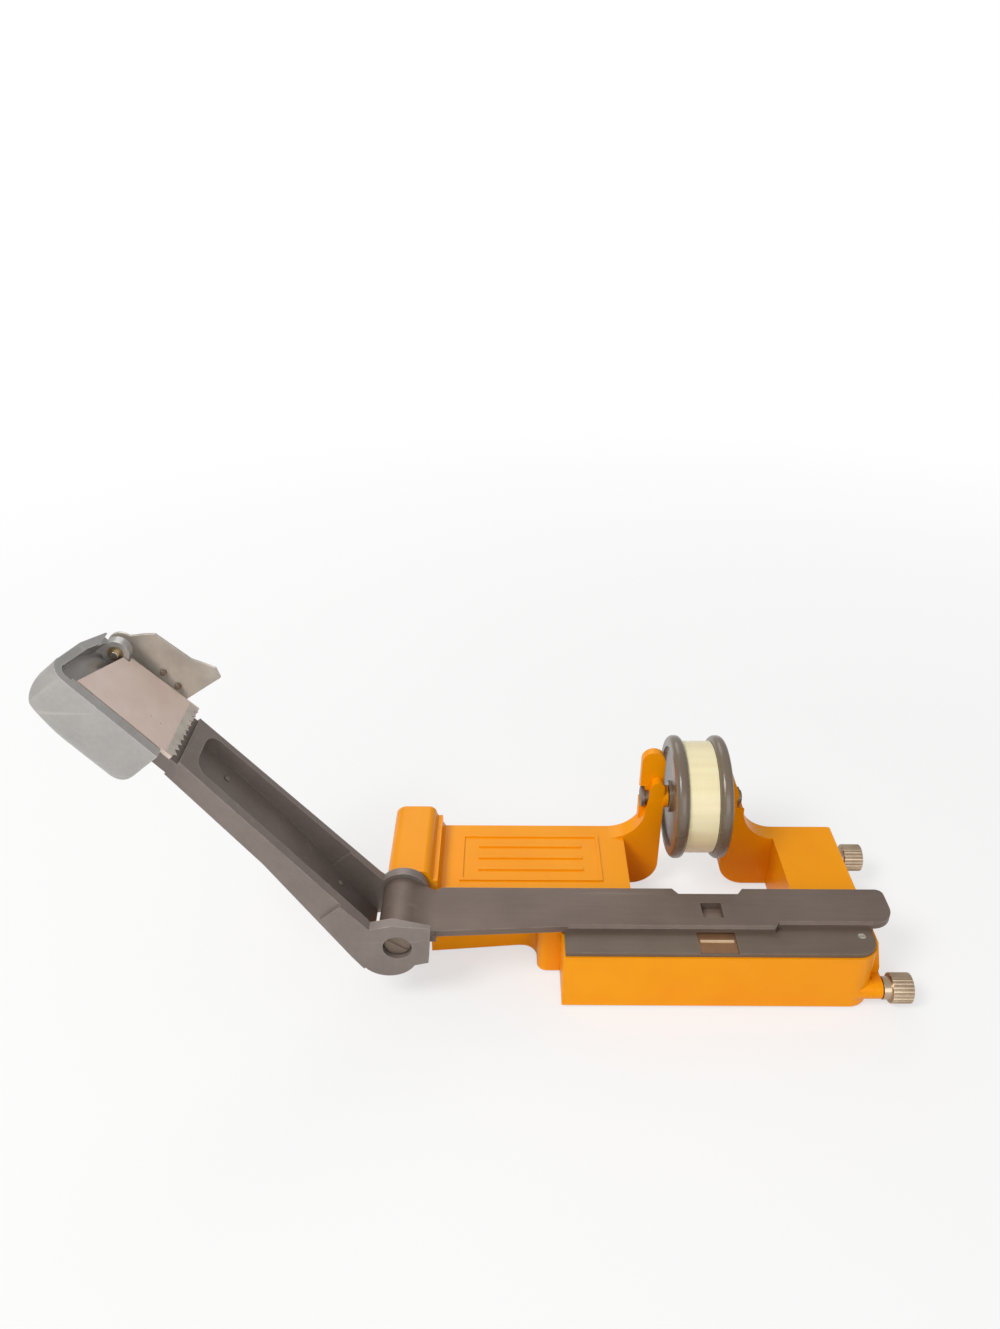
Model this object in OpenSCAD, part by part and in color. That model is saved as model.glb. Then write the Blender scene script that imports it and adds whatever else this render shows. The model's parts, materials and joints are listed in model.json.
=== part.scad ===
// Tape splicer for Super 8 film, in millimetres.
// X runs along the film, Y towards the tape reel, Z up. The film's centreline is Y = 0,
// the middle of the splice window is X = 0 and the table is Z = 0.

/* [Base] */
// Left end of the hinge tower
base_left = -134.5; // [-140:0.5:-130]
// Right end of the moulded base
base_right = 64; // [62:0.5:68]
// Front face of the base
base_front = -21.5; // [-24:0.5:-20]
// Back face of the base
base_back = 59; // [57:0.5:64]
// Height of the base's flat top above the table
base_top = 28; // [26:0.5:30]
// Thickness of the moulded walls
wall = 2.8; // [2:0.1:3.2]
// Left end of the front box
box_left = -61.5; // [-66:0.5:-58]
// Radius of the front box's right corner
corner_r = 9; // [6:0.5:11]
// Height of the hinge tower
tower_top = 39; // [38.5:0.25:42]
// Width of the tower's flat top and sides
tower_w = 18.5; // [16:0.5:19]
// Left end of the left deck's front wall
deck_left = -116; // [-117:0.5:-114]
// Left edge of the tape well
well_left = -31; // [-34:0.5:-28]
// Right edge of the tape well
well_right = 37; // [34:0.5:40]
// Front edge of the tape well
well_front = 13.6; // [13.2:0.1:15]
// Back edge of the tape well
well_back = 50.5; // [49:0.5:52]
// Thickness of the rubber feet
foot_t = 1.2; // [0.8:0.1:2]
// Thickness of the bottom cover
cover_t = 2; // [1.5:0.1:2.5]
// Thickness of the removable end cover
end_t = 4; // [3:0.25:5]

/* [Film track] */
// Thickness of the grey track plate
track_t = 2; // [1.6:0.1:2.6]
// Width of Super 8 film
film_w = 7.98; // [7.9:0.01:8.05]
// Depth of the film groove
groove_d = 0.35; // [0.2:0.05:0.6]
// Distance from one perforation to the next
pitch = 4.234; // [4.2:0.001:4.3]
// Distance of the perforations from the film's centreline
perf_y = 3.02; // [2.9:0.01:3.1]
// Width of the splicing tape
tape_w = 12.7; // [12.5:0.1:13]
// Length and width of the splice window
window = 8.468; // [8.2:0.002:8.8]

/* [Clamp arm] */
// Thickness of the clamp bar
bar_t = 3; // [2.4:0.1:3.6]
// Right tip of the clamp bar
bar_tip = 73; // [70:0.5:76]
// Front edge of the clamp bar over the box
bar_front = -9.6; // [-11:0.1:-8]
// Rear edge of the clamp bar
bar_rear = 12.5; // [11.5:0.1:13]
// Depth of the tape notch in the rear edge
notch_d = 3.1; // [2:0.1:4]
// Radius of the clamp arm's hub
hub_r = 8.5; // [7.5:0.25:9]
// Largest opening angle of the clamp arm
clamp_open = 95; // [60:1:110]

/* [Hinge] */
// Distance of the hinge axis from the splice window
hinge_x = -127; // [-130:0.5:-125]
// Height of the hinge axis
hinge_z = 31.4; // [31:0.1:32]
// Radius of the hinge pin
pin_r = 4; // [3:0.25:4.5]
// Radial clearance of everything that turns
run_gap = 0.05; // [0.02:0.01:0.1]
// Side clearance between neighbouring hinge parts
side_gap = 0.3; // [0.2:0.05:0.5]
// Front face of the splice arm's hinge cheek
cheek_front = -20; // [-21:0.5:-19]
// Thickness of the front cheek
cheek_t = 4.5; // [4:0.25:6]
// Thickness of the rear cheek
rear_cheek_t = 4; // [3:0.25:4.5]
// Front face of the hinge tower
tower_front = 15.5; // [15:0.25:17]

/* [Splice arm] */
// Angle of the arm in its open resting place
arm_open = 130; // [100:1:135]
// Height of the arm's rim above the hinge axis when closed
rim_z = 1.95; // [1.9:0.05:2.5]
// Height of the arm's back above the axis at the hinge
arm_h = 18; // [16:0.5:20]
// Height of the arm's back above the axis at the head
arm_h_end = 10.2; // [9.5:0.1:12]
// Distance of the arm's waist from the hinge
arm_waist = 62; // [50:1:75]
// Height of the arm's back at the waist
arm_h_waist = 11.6; // [11:0.1:13]
// Distance from the hinge to the end of the channel section
arm_end = 112.5; // [111:0.5:113.5]
// Front face of the arm at the head
arm_front_end = -13.5; // [-14:0.25:-12]
// Thickness of the arm's walls
arm_wall = 3; // [2.2:0.1:3.6]
// Radius of the front cheek
cheek_r = 12.2; // [11.5:0.1:12.5]
// Radius of the rear cheek
rear_cheek_r = 10.5; // [9.5:0.25:11]

/* [Head] */
// Start of the rounded grip, from the hinge
grip_start = 120.5; // [118:0.5:122]
// End of the rounded grip, from the hinge
grip_end = 167; // [166:0.5:170]
// Front face of the grip
grip_front = -19; // [-20:0.5:-18]
// Rear face of the grip
grip_rear = 17.5; // [17:0.25:18.5]
// Thickness of the grip's shell
grip_wall = 3; // [2:0.1:3.5]
// Radius of the grip's rounding over its length
grip_r = 13; // [10:0.5:13]
// Thickness of the steel pressure plate
plate_t = 1.5; // [1:0.1:1.6]
// Distance of the blade's pivot from the grip's outer end
blade_back = 15.5; // [14:0.5:17]
// Height of the blade's pivot above the hinge axis, arm closed
blade_z = 3.5; // [3:0.25:5]
// Thickness of the tape blade
blade_t = 1.2; // [0.8:0.1:1.5]
// How far the blade swings up when pressed
blade_swing = 16; // [8:1:18]

/* [Reel] */
// Radius of the reel's flanges
flange_r = 27.3; // [25:0.1:28.5]
// Thickness of each flange
flange_t = 5.6; // [4:0.1:6]
// Radius of the reel's core
core_r = 12.7; // [10:0.1:16]
// Radius of the wound tape
tape_r = 24.8; // [18:0.1:25.5]
// Radius of the reel's spindle
spindle_r = 3; // [2.5:0.1:3.5]
// Distance of the spindle behind the film
reel_y = 54.5; // [54:0.25:55.5]
// Height of the spindle
reel_z = 49; // [47:0.5:51]
// Side clearance of the reel between its posts
reel_gap = 0.3; // [0.2:0.05:0.5]
// Gap between the reel's posts
post_gap = 28.6; // [27.8:0.2:30]

/* [Thumb screws] */
// Radius of the knurled heads
knob_r = 6.2; // [5:0.1:6.6]
// Length of the knurled heads
knob_l = 8.4; // [6:0.2:10]
// Radius of the smooth collar
collar_r = 4.6; // [4:0.1:5]
// Length of the smooth collar
collar_l = 3.2; // [2:0.1:5]
// Radius of the threaded shank
shank_r = 2; // [1.5:0.1:2.5]
// Number of ridges on each knurled head
knurls = 28; // [16:2:40]

/* [Hidden] */
$fn = 64;

// A solid reaches this far past a face that it cuts
cut = 1;
yellow = [0.96, 0.62, 0.06];
grey = [0.46, 0.43, 0.41];
grip_grey = [0.58, 0.57, 0.55];
steel = [0.78, 0.76, 0.74];
rubber = [0.12, 0.12, 0.12];
cream = [0.93, 0.88, 0.70];
brass = [0.80, 0.65, 0.35];

track_top = base_top + track_t;
bar_top = track_top + bar_t;
beam_t = base_back - well_back;
cover_top = foot_t + cover_t;
inner_top = base_top - wall;
cover_gap = 0.3;

// Hinge stack along Y
washer_t = 0.5;
cheek_back = cheek_front + cheek_t;
hub_front = cheek_back + side_gap;
rear_cheek_back = tower_front - side_gap - washer_t;
rear_cheek_front = rear_cheek_back - rear_cheek_t;
hub_rear = rear_cheek_front - side_gap;
head_r = 5.3;
head_t = 1;
head_depth = 3;
head_face = cheek_front + head_depth - head_t - 0.1;
pin_end = tower_front + 29;
pin_boss_r = pin_r + 3;
heel_crease = head_r + 0.9;

// Left deck
step_front = -3.2;
step_left = -71;
deck_front = 7.5;
deck_front_right = 11;
relief_z = 15;
relief_gap = 1;
tower_r = 3.5;
tower_slope = 4;
panel_h = 0.6;
panel_w = 62;
panel_d = 30;
panel_x = -73.5;
panel_y = 37;
lobe_r = 12;

// Posts that hold the reel
post_x = post_gap / 2;
post_top = 59;
post_knee_x = 22;
post_knee_z = 45;
post_tip_w = 2.8;
post_fillet = 16;
finger_top = 72;
finger_w = 10.2;
finger_t = 4;
post_boss_r = 5;

// Film track
track_gap = 0.8;
die_l = 14;
die_w = 12;
die_t = 1.65;
scrap_w = 9;
patch_w = 15.4;
patch_rear = -8.6;
patch_d = 0.8;
tear_w = 13.4;
tear_d = 1.2;
tear_h = 0.7;
tear_y = -14;
reg_r = 0.42;
reg_h = 0.8;
punch_r = 0.45;
screw_r = 1.5;
screw_head_r = 2.6;

// Clamp bar
bar_step_x = 24;
bar_step = 2.6;
bar_front_hinge = -12.5;
tip_r = 9;
bar_rear_hinge = hub_rear;
web_x = hinge_x + 14;
notch_half = 12.4;
notch_slope = 3;
pad_l = 22;
pad_w = 6.4;
pad_t = 1;
pad_x = 32;

// Head
blade_u = grip_end - blade_back;
bush_r = 3;
bush_l = 4.2;
boss_r = 5;
plate_front = -14;
plate_z = rim_z;
plate_back = plate_z + plate_t;
plate_gap = 0.8;
plate_corner = [[grip_end - 9.8, plate_front], [grip_start - 4.7, plate_front],
    [grip_start - 6.1, grip_rear + 1.8], [blade_u - 3.6, grip_rear - 1.8]];
tongue_end = blade_u - boss_r - 0.3;
tongue_top = 9.4;
ledge_z = blade_z + boss_r;
ledge_t = 3;
grip_tail_r = 10;
grip_top = 27.4;
grip_top_end = 20;
grip_side_r = 12;
grip_slot_gap = 0.3;
block_w = window - 0.8;
block_h = 4.5;
pivot_r = 1.5;
pivot_head_r = 3.4;
pivot_head_t = 1.4;
blade_y = 20.2;
peg_r = 1.2;
peg_l = 1.3;
rivet_r = 1.3;
cap_screw_x = [tongue_end - 11.7, tongue_end - 4.2];

// Reel
reel_half = tape_w / 2 + 0.15 + flange_t;
rim_r = 2.4;
spindle_head_r = 4.6;
spindle_head_t = 1.6;
clip_r = 4.4;
clip_t = 0.9;
clip_x = 18.6;
spindle_seat = 22.6;

// Thumb screws
front_screw = [-17.2, 7.4];
rear_screw = [54.5, 13.5];
insert_r = 3.2;
insert_l = 8;
screw_boss_r = 4.3;
end_slope_z = 14;
end_face = base_right + end_t;
shank_l = 11;

function polar(r, a) = [r * cos(a), r * sin(a)];

// Extrudes a drawing of X and Z along Y
module along_y(y0, y1) translate([0, y1, 0]) rotate([90, 0, 0]) linear_extrude(y1 - y0) children();

// Extrudes a drawing of Y and Z along X
module along_x(x0, x1) translate([x0, 0, 0]) rotate([90, 0, 90]) linear_extrude(x1 - x0) children();

module block(x0, x1, y0, y1, z0, z1) translate([x0, y0, z0]) cube([x1 - x0, y1 - y0, z1 - z0]);

module rod_x(x0, x1, y, z, r) along_x(x0, x1) translate([y, z]) circle(r);

module rod_y(y0, y1, x, z, r) along_y(y0, y1) translate([x, z]) circle(r);

module rod_z(x, y, z0, z1, r) translate([x, y, z0]) cylinder(r = r, h = z1 - z0);

// Rectangle between two corners
module rect(x0, y0, x1, y1) translate([x0, y0]) square([x1 - x0, y1 - y0]);

// Two circles and the straight tangents that join them
module belt(c1, r1, c2, r2) {
    d = norm(c2 - c1);
    turn = atan2(c2[1] - c1[1], c2[0] - c1[0]);
    lean = acos((r1 - r2) / d);
    translate(c1) circle(r1);
    translate(c2) circle(r2);
    polygon([c1 + polar(r1, turn + lean), c1 + polar(r1, turn - lean),
        c2 + polar(r2, turn - lean), c2 + polar(r2, turn + lean)]);
}

// Places the splice arm, drawn closed along +X from its hinge, at its open angle
module on_arm() translate([hinge_x, 0, hinge_z]) rotate([0, -arm_open, 0]) children();

module box_plan(inset) {
    difference() {
        rect(box_left + inset, base_front + inset, base_right - inset, well_front - inset);
        translate([base_right - corner_r, base_front])
            rect(0, -cut, corner_r + cut, corner_r);
    }
    translate([base_right - corner_r, base_front + corner_r]) circle(corner_r - inset);
}

module deck_plan() {
    rect(deck_left, deck_front_right, well_left, base_back);
    polygon([[deck_left, deck_front], [step_left - 8, deck_front_right],
        [deck_left, deck_front_right + cut]]);
    rect(step_left + 4, step_front, box_left + cut, deck_front_right + cut);
    rect(step_left, step_front + 4, box_left + cut, deck_front_right + cut);
    translate([step_left + 4, step_front + 4]) circle(4);
    difference() {
        rect(step_left - 6, deck_front_right - 6, step_left + cut, deck_front_right + cut);
        translate([step_left - 6, deck_front_right - 6]) circle(6);
    }
    rect(well_right, well_front - cut, base_right, base_back);
    rect(well_left - cut, well_back, -post_x, base_back);
    rect(post_x, well_back, well_right + cut, base_back);
}

// The hollow space inside the base, open below
module inner_plan(gap) {
    box_plan(wall + gap);
    rect(deck_left + wall + gap, deck_front_right + wall + gap, well_left - wall - gap,
        base_back - wall - gap);
    rect(box_left + wall + gap, 0, well_left - wall - gap, base_back - wall - gap);
    rect(well_right + wall + gap, 0, base_right - wall - gap, base_back - wall - gap);
    rect(base_left + wall + gap, tower_front + wall + gap, deck_left + 2 * wall, base_back - wall - gap);
}

module tower_side() {
    top_r = 5;
    right = base_left + tower_w;
    rect(base_left, foot_t, deck_left + wall, tower_top - top_r);
    rect(base_left + top_r, foot_t, right - tower_r, tower_top);
    translate([base_left + top_r, tower_top - top_r]) circle(top_r);
    translate([right - tower_r, tower_top - tower_r]) circle(tower_r);
    polygon([[right - tower_r - 1, foot_t], [right - tower_r - 1, tower_top - tower_r],
        [right, tower_top - tower_r], [right + tower_slope, base_top], [right + tower_slope, foot_t]]);
}

module tower_hollow() {
    right = base_left + tower_w;
    rect(base_left + wall, foot_t - cut, right - wall, tower_top - wall);
}

module post_side(side, tip_w) {
    scale([side, 1]) {
        polygon([[post_x, inner_top], [post_x, post_top - tip_w / 2],
            [post_x + tip_w, post_top - tip_w / 2], [post_knee_x, post_knee_z],
            [post_knee_x, inner_top]]);
        translate([post_x + tip_w / 2, post_top - tip_w / 2]) circle(tip_w / 2);
        difference() {
            rect(post_knee_x - cut, inner_top, post_knee_x + post_fillet, base_top + post_fillet);
            translate([post_knee_x + post_fillet, base_top + post_fillet]) circle(post_fillet);
        }
    }
}

module finger_side() {
    r = finger_w / 2;
    rect(-post_x - finger_w, inner_top, -post_x, finger_top - r);
    translate([-post_x - r, finger_top - r]) circle(r);
}

module cover_screw_places() {
    for (p = [[deck_left + 9, base_back - 9], [deck_left + 9, 21], [well_left - 9, base_back - 9],
        [box_left + 10, -13], [base_right - 10, 2], [base_right - 12, base_back - 14]])
        translate([p[0], p[1], 0]) children();
}

module base_outer() {
    translate([0, 0, foot_t]) linear_extrude(base_top - foot_t) {
        box_plan(0);
        deck_plan();
    }
    along_y(tower_front, base_back) tower_side();
    along_y(well_back, base_back) {
        post_side(1, post_tip_w);
        post_side(-1, 2 * post_tip_w);
    }
    along_y(base_back - finger_t, base_back) finger_side();
    rod_x(-post_x, -reel_half - reel_gap, reel_y, reel_z, post_boss_r);
    rod_x(reel_half + reel_gap, post_x, reel_y, reel_z, post_boss_r);
    rod_x(base_right - corner_r - wall, base_right, front_screw[0], front_screw[1], screw_boss_r);
    panel();
}

// A plain raised frame with three ribs on the left deck
module panel() {
    x0 = panel_x - panel_w / 2;
    y0 = panel_y - panel_d / 2;
    line = 1.6;
    top = base_top + panel_h;
    difference() {
        block(x0, x0 + panel_w, y0, y0 + panel_d, inner_top, top);
        block(x0 + line, x0 + panel_w - line, y0 + line, y0 + panel_d - line, base_top, top + cut);
    }
    for (k = [1:3])
        block(x0 + 8, x0 + panel_w - 8, y0 + k * panel_d / 4 - line / 2, y0 + k * panel_d / 4 + line / 2,
            inner_top, top);
}

module base_shell() color(yellow) {
    difference() {
        base_outer();
        translate([0, 0, foot_t - cut]) linear_extrude(inner_top - foot_t + cut) inner_plan(0);
        along_y(tower_front + wall, base_back - wall) tower_hollow();
        block(deck_left - cut, hinge_x + rear_cheek_r + 5, deck_front - cut, tower_front,
            relief_z, base_top + cut);
        along_y(well_back - cut, base_back + cut) lobe_cuts();
        block(-scrap_w / 2, scrap_w / 2, -scrap_w / 2, scrap_w / 2, inner_top - cut, base_top + cut);
        rod_y(tower_front - cut, pin_end, hinge_x, hinge_z, pin_r);
        rod_x(-post_x - finger_w - cut, clip_x + cut, reel_y, reel_z, spindle_r);
        rod_x(clip_x, post_knee_x + cut, reel_y, reel_z, clip_r + 0.8);
        rod_x(-post_knee_x - 3, -spindle_seat, reel_y, reel_z, spindle_head_r + 0.6);
        rod_x(base_right - insert_l, base_right + cut, front_screw[0], front_screw[1], insert_r);
        rod_x(base_right - insert_l, base_right + cut, rear_screw[0], rear_screw[1], insert_r);
        for (p = track_screw_places) rod_z(p[0], p[1], base_top - 8, base_top + cut, 1);
    }
    difference() {
        rod_y(tower_front + cut, pin_end + cut, hinge_x, hinge_z, pin_boss_r);
        rod_y(tower_front - cut, pin_end, hinge_x, hinge_z, pin_r);
    }
    cover_screw_places() difference() {
        rod_z(0, 0, cover_top, inner_top + cut, 3.2);
        rod_z(0, 0, cover_top - cut, cover_top + 9, 1);
    }
    for (p = track_screw_places) difference() {
        rod_z(p[0], p[1], base_top - 9, inner_top + cut, 2.4);
        rod_z(p[0], p[1], base_top - 8, base_top + cut, 1);
    }
    insert_boss(front_screw);
    insert_boss(rear_screw);
}

track_screw_places = [[box_left + 6.5, -6], [base_right - 5.6, -10.9], [box_left + 6.5, 8],
    [base_right - 5.6, 8]];

module insert_boss(place) difference() {
    rod_x(base_right - insert_l - 2, base_right - wall + cut, place[0], place[1], screw_boss_r);
    rod_x(base_right - insert_l, base_right + cut, place[0], place[1], insert_r);
}

// The rounded lower corners of the reel's gap
module lobe_cuts() {
    for (side = [-1, 1]) scale([side, 1]) difference() {
        rect(post_x - cut, foot_t - cut, post_x + lobe_r, foot_t + lobe_r);
        translate([post_x + lobe_r, foot_t + lobe_r]) circle(lobe_r);
    }
}

module bottom_cover() color(grey) difference() {
    translate([0, 0, foot_t]) linear_extrude(cover_t) inner_plan(cover_gap);
    cover_screw_places() {
        rod_z(0, 0, foot_t - cut, cover_top + cut, 1.2);
        rod_z(0, 0, foot_t - cut, foot_t + 1.1, 2.4);
    }
}

module cover_screws() color(steel) cover_screw_places() difference() {
    union() {
        rod_z(0, 0, foot_t + 0.1, foot_t + 1.1, 2.2);
        rod_z(0, 0, foot_t + 1.1, cover_top + 8, 1);
    }
    block(-1.8, 1.8, -0.25, 0.25, foot_t - cut, foot_t + 0.6);
}

module foot(x0, x1, y0, y1) {
    r = 3;
    linear_extrude(foot_t) {
        rect(x0 + r, y0, x1 - r, y1);
        rect(x0, y0 + r, x1, y1 - r);
        for (x = [x0 + r, x1 - r], y = [y0 + r, y1 - r]) translate([x, y]) circle(r);
    }
}

module rubber_feet() color(rubber) {
    foot(box_left + 16, base_right - 17, -6, 6);
    foot(base_left + wall + 1.5, base_left + wall + 11.5, tower_front + wall + 2, base_back - wall - 2);
    foot(well_left - wall - 34, well_left - wall - 16, base_back - wall - 12, base_back - wall - 2);
    foot(well_right + wall + 2, base_right - wall - 2, base_back - wall - 32, base_back - wall - 20);
}

module end_cover() color(yellow) difference() {
    intersection() {
        along_x(base_right, end_face) {
            rect(base_front + corner_r, foot_t, base_back, base_top);
            rect(front_screw[0], front_screw[1] - screw_boss_r, base_front + corner_r + cut,
                front_screw[1] + screw_boss_r);
            translate(front_screw) circle(screw_boss_r);
        }
        along_y(base_front - cut, base_back + cut)
            polygon([[base_right, foot_t], [end_face, foot_t], [end_face, end_slope_z],
                [base_right + 1, base_top], [base_right, base_top]]);
    }
    rod_x(base_right - cut, end_face + cut, front_screw[0], front_screw[1], shank_r + 0.3);
    rod_x(base_right - cut, end_face + cut, rear_screw[0], rear_screw[1], shank_r + 0.3);
}

module threaded_inserts() color(brass) for (place = [front_screw, rear_screw]) difference() {
    rod_x(base_right - insert_l, base_right, place[0], place[1], insert_r);
    rod_x(base_right - insert_l - cut, base_right + cut, place[0], place[1], shank_r + run_gap);
}

module track_plan(inset) difference() {
    box_plan(inset);
    rect(box_left - cut, bar_rear, base_right + cut, well_front + cut);
}

module film_track() color(grey) difference() {
    translate([0, 0, base_top]) linear_extrude(track_t) track_plan(track_gap);
    block(box_left - cut, base_right + cut, -film_w / 2, film_w / 2, track_top - groove_d, track_top + cut);
    block(-die_l / 2, die_l / 2, -die_w / 2, die_w / 2, base_top - cut, track_top + cut);
    block(-patch_w / 2, patch_w / 2, base_front - cut, patch_rear, track_top - patch_d, track_top + cut);
    for (p = track_screw_places) {
        rod_z(p[0], p[1], base_top - cut, track_top + cut, 1);
        rod_z(p[0], p[1], track_top - 1.2, track_top + cut, screw_r);
    }
    for (k = reg_places) rod_z(k * pitch, -perf_y, base_top - cut, track_top + cut, reg_r);
}

reg_places = [-4, -3, 3, 4];
punch_places = [-0.5, 0.5];

module track_screws() color(steel) for (p = track_screw_places) difference() {
    union() {
        rod_z(p[0], p[1], track_top - 1.2, track_top - 0.15, screw_r);
        rod_z(p[0], p[1], base_top - 7, track_top - 1.2, 1);
    }
    translate([p[0], p[1], track_top]) block(-1.2, 1.2, -0.2, 0.2, -0.6, cut);
}

// The steel die that the punches enter, flush with the film groove
module die_plate() color(steel) difference() {
    block(-die_l / 2, die_l / 2, -die_w / 2, die_w / 2, base_top, base_top + die_t);
    block(-scrap_w / 2, scrap_w / 2, -scrap_w / 4, scrap_w / 2, base_top - cut, base_top + die_t - 0.8);
    for (k = punch_places) rod_z(k * pitch, -perf_y, base_top - cut, track_top, punch_r + 0.1);
    for (y = [-die_w / 2 - cut, film_w / 2])
        block(-die_l / 2 - cut, die_l / 2 + cut, y, y + die_w / 2 + cut - film_w / 2,
            track_top - groove_d, track_top + cut);
}

module registration_pins() color(steel)
    for (k = reg_places) rod_z(k * pitch, -perf_y, base_top, track_top - groove_d + reg_h, reg_r);

module tape_bar() color(steel) difference() {
    block(-tear_w / 2, tear_w / 2, tear_y - tear_d / 2, tear_y + tear_d / 2,
        track_top - patch_d, track_top - patch_d + tear_h);
    for (k = [-6:6]) translate([k, tear_y - tear_d / 2, track_top - patch_d + tear_h])
        rotate([0, 0, 45]) translate([-0.28, -0.28, -0.3]) cube([0.56, 0.56, 1]);
}

module hinge_pin() color(steel) difference() {
    union() {
        rod_y(head_face, head_face + head_t, hinge_x, hinge_z, head_r);
        rod_y(head_face + head_t, pin_end, hinge_x, hinge_z, pin_r);
    }
    translate([hinge_x, head_face, hinge_z])
        rotate([0, 35, 0]) block(-head_r - cut, head_r + cut, -cut, 0.6, -0.5, 0.5);
}

module hinge_washer() color(steel) difference() {
    rod_y(tower_front - washer_t, tower_front, hinge_x, hinge_z, pin_boss_r);
    rod_y(tower_front - washer_t - cut, tower_front + cut, hinge_x, hinge_z, pin_r + run_gap);
}

module reel_spindle() color(steel) {
    rod_x(-spindle_seat - spindle_head_t, -spindle_seat, reel_y, reel_z, spindle_head_r);
    rod_x(-spindle_seat, clip_x + 2, reel_y, reel_z, spindle_r);
}

module spindle_clip() color(steel) difference() {
    rod_x(clip_x, clip_x + clip_t, reel_y, reel_z, clip_r);
    rod_x(clip_x - cut, clip_x + clip_t + cut, reel_y, reel_z, spindle_r);
}

module clamp_plan() difference() {
    union() {
        polygon([[web_x - 5, bar_front_hinge], [web_x, bar_front_hinge], [box_left, bar_front],
            [bar_step_x, bar_front], [bar_step_x + 1.5, bar_front + bar_step],
            [bar_tip - tip_r, bar_front + bar_step], [bar_tip - tip_r, bar_rear],
            [web_x + 2, bar_rear], [web_x - 1, bar_rear_hinge], [web_x - 5, bar_rear_hinge]]);
        rect(bar_tip - tip_r - cut, bar_front + bar_step + tip_r, bar_tip, bar_rear - 3);
        rect(bar_tip - tip_r - cut, bar_front + bar_step + tip_r, bar_tip - 3, bar_rear);
        translate([bar_tip - tip_r, bar_front + bar_step + tip_r]) circle(tip_r);
        translate([bar_tip - 3, bar_rear - 3]) circle(3);
    }
    square(window, center = true);
    polygon([[-notch_half, bar_rear - notch_d], [notch_half, bar_rear - notch_d],
        [notch_half + notch_slope, bar_rear + cut], [-notch_half - notch_slope, bar_rear + cut]]);
}

module clamp_arm() color(grey) {
    difference() {
        union() {
            translate([0, 0, track_top]) linear_extrude(bar_t) clamp_plan();
            rod_y(hub_front, hub_rear, hinge_x, hinge_z, hub_r);
            along_y(hub_front, hub_rear) polygon([[hinge_x, track_top], [hinge_x, hinge_z + hub_r - 1],
                [hinge_x + hub_r / 2 - 0.2, hinge_z + hub_r * cos(30) - 0.2],
                [web_x + 1, bar_top - 0.6], [web_x + 1, track_top]]);
        }
        rod_y(hub_front - cut, hub_rear + cut, hinge_x, hinge_z, pin_r + run_gap);
        translate([0, 0, bar_top]) chamfer_edge();
        for (x = [-pad_x, pad_x])
            block(x - pad_l / 2, x + pad_l / 2, -pad_w / 2, pad_w / 2, track_top - cut, track_top + pad_t);
        block(-20, 20, -perf_y - 1, -perf_y + 1, track_top - cut, track_top + reg_h);
    }
}

// Slants the bar's front top edge
module chamfer_edge() {
    for (run = [[box_left + 2, bar_step_x - 0.5, bar_front],
        [bar_step_x + 2, bar_tip - tip_r, bar_front + bar_step]])
        translate([0, run[2], 0]) rotate([45, 0, 0]) block(run[0], run[1], -0.7, 0.7, -0.7, 0.7);
}

module clamp_pads() color(rubber) for (x = [-pad_x, pad_x])
    block(x - pad_l / 2, x + pad_l / 2, -pad_w / 2, pad_w / 2, track_top, track_top + pad_t);

// Side view of the arm, hinge at the origin
module arm_side() {
    polygon([[0, 0], [0, arm_h], [arm_waist, arm_h_waist], [arm_end, arm_h_end], [arm_end, rim_z],
        [rear_cheek_r + 2, rim_z]]);
}

module arm_plan(inset) polygon([[-cheek_r - cut, cheek_front + inset], [8, cheek_front + inset],
    [arm_end + cut, arm_front_end + inset], [arm_end + cut, rear_cheek_back - inset],
    [-cheek_r - cut, rear_cheek_back - inset]]);

// The front cheek: a disc that hangs below the pin, and the corner of the heel
module front_cheek_side() {
    translate([0, arm_h - cheek_r - 0.8]) circle(cheek_r);
    polygon([[0, 5], [-11.6, 1], [-14, -4], [-2.5, -15], [10, -6], [14, rim_z], [10, 12]]);
    polygon([[0, 0], [0, arm_h], [30, 13], [30, rim_z], [14, rim_z]]);
}

// The heel's front face slants back beyond this height
module heel_slant() along_x(-arm_h, arm_h)
    polygon([[cheek_front - cut, -heel_crease], [cheek_front, -heel_crease],
        [cheek_back - 1, -arm_h], [cheek_front - cut, -arm_h]]);

module rear_cheek_side() {
    circle(rear_cheek_r);
    polygon([[-5, 9], [0, arm_h], [30, 13], [30, rim_z], [rear_cheek_r - 2, rim_z]]);
}

// The channel inside the arm, open below, with a rounded far end
module channel() {
    far = arm_end - 6;
    r = 6;
    front = arm_front_end + arm_wall + 0.6;
    rear = rear_cheek_back - arm_wall;
    intersection() {
        along_y(cheek_front - cut, rear_cheek_back + cut) polygon([[-cheek_r - cut, -cheek_r - cut],
            [-cheek_r - cut, arm_h - arm_wall], [0, arm_h - arm_wall], [arm_waist, arm_h_waist - arm_wall],
            [far + cut, arm_h_end - arm_wall + 0.4], [far + cut, -cheek_r - cut]]);
        translate([0, 0, -cheek_r - 2]) linear_extrude(cheek_r * 3) {
            polygon([[14, cheek_back + 0.4], [far - r, front], [far - r, rear], [14, rear]]);
            translate([far - r, front]) rect(-cut, r, r, rear - front - r);
            translate([far - r, front + r]) circle(r);
            translate([far - r, rear - r]) circle(r);
            rect(-cheek_r - cut, cheek_back, 14 + cut, rear_cheek_front);
        }
    }
    rod_y(cheek_back, rear_cheek_front, 0, 0, hub_r + 0.8);
}

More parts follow.
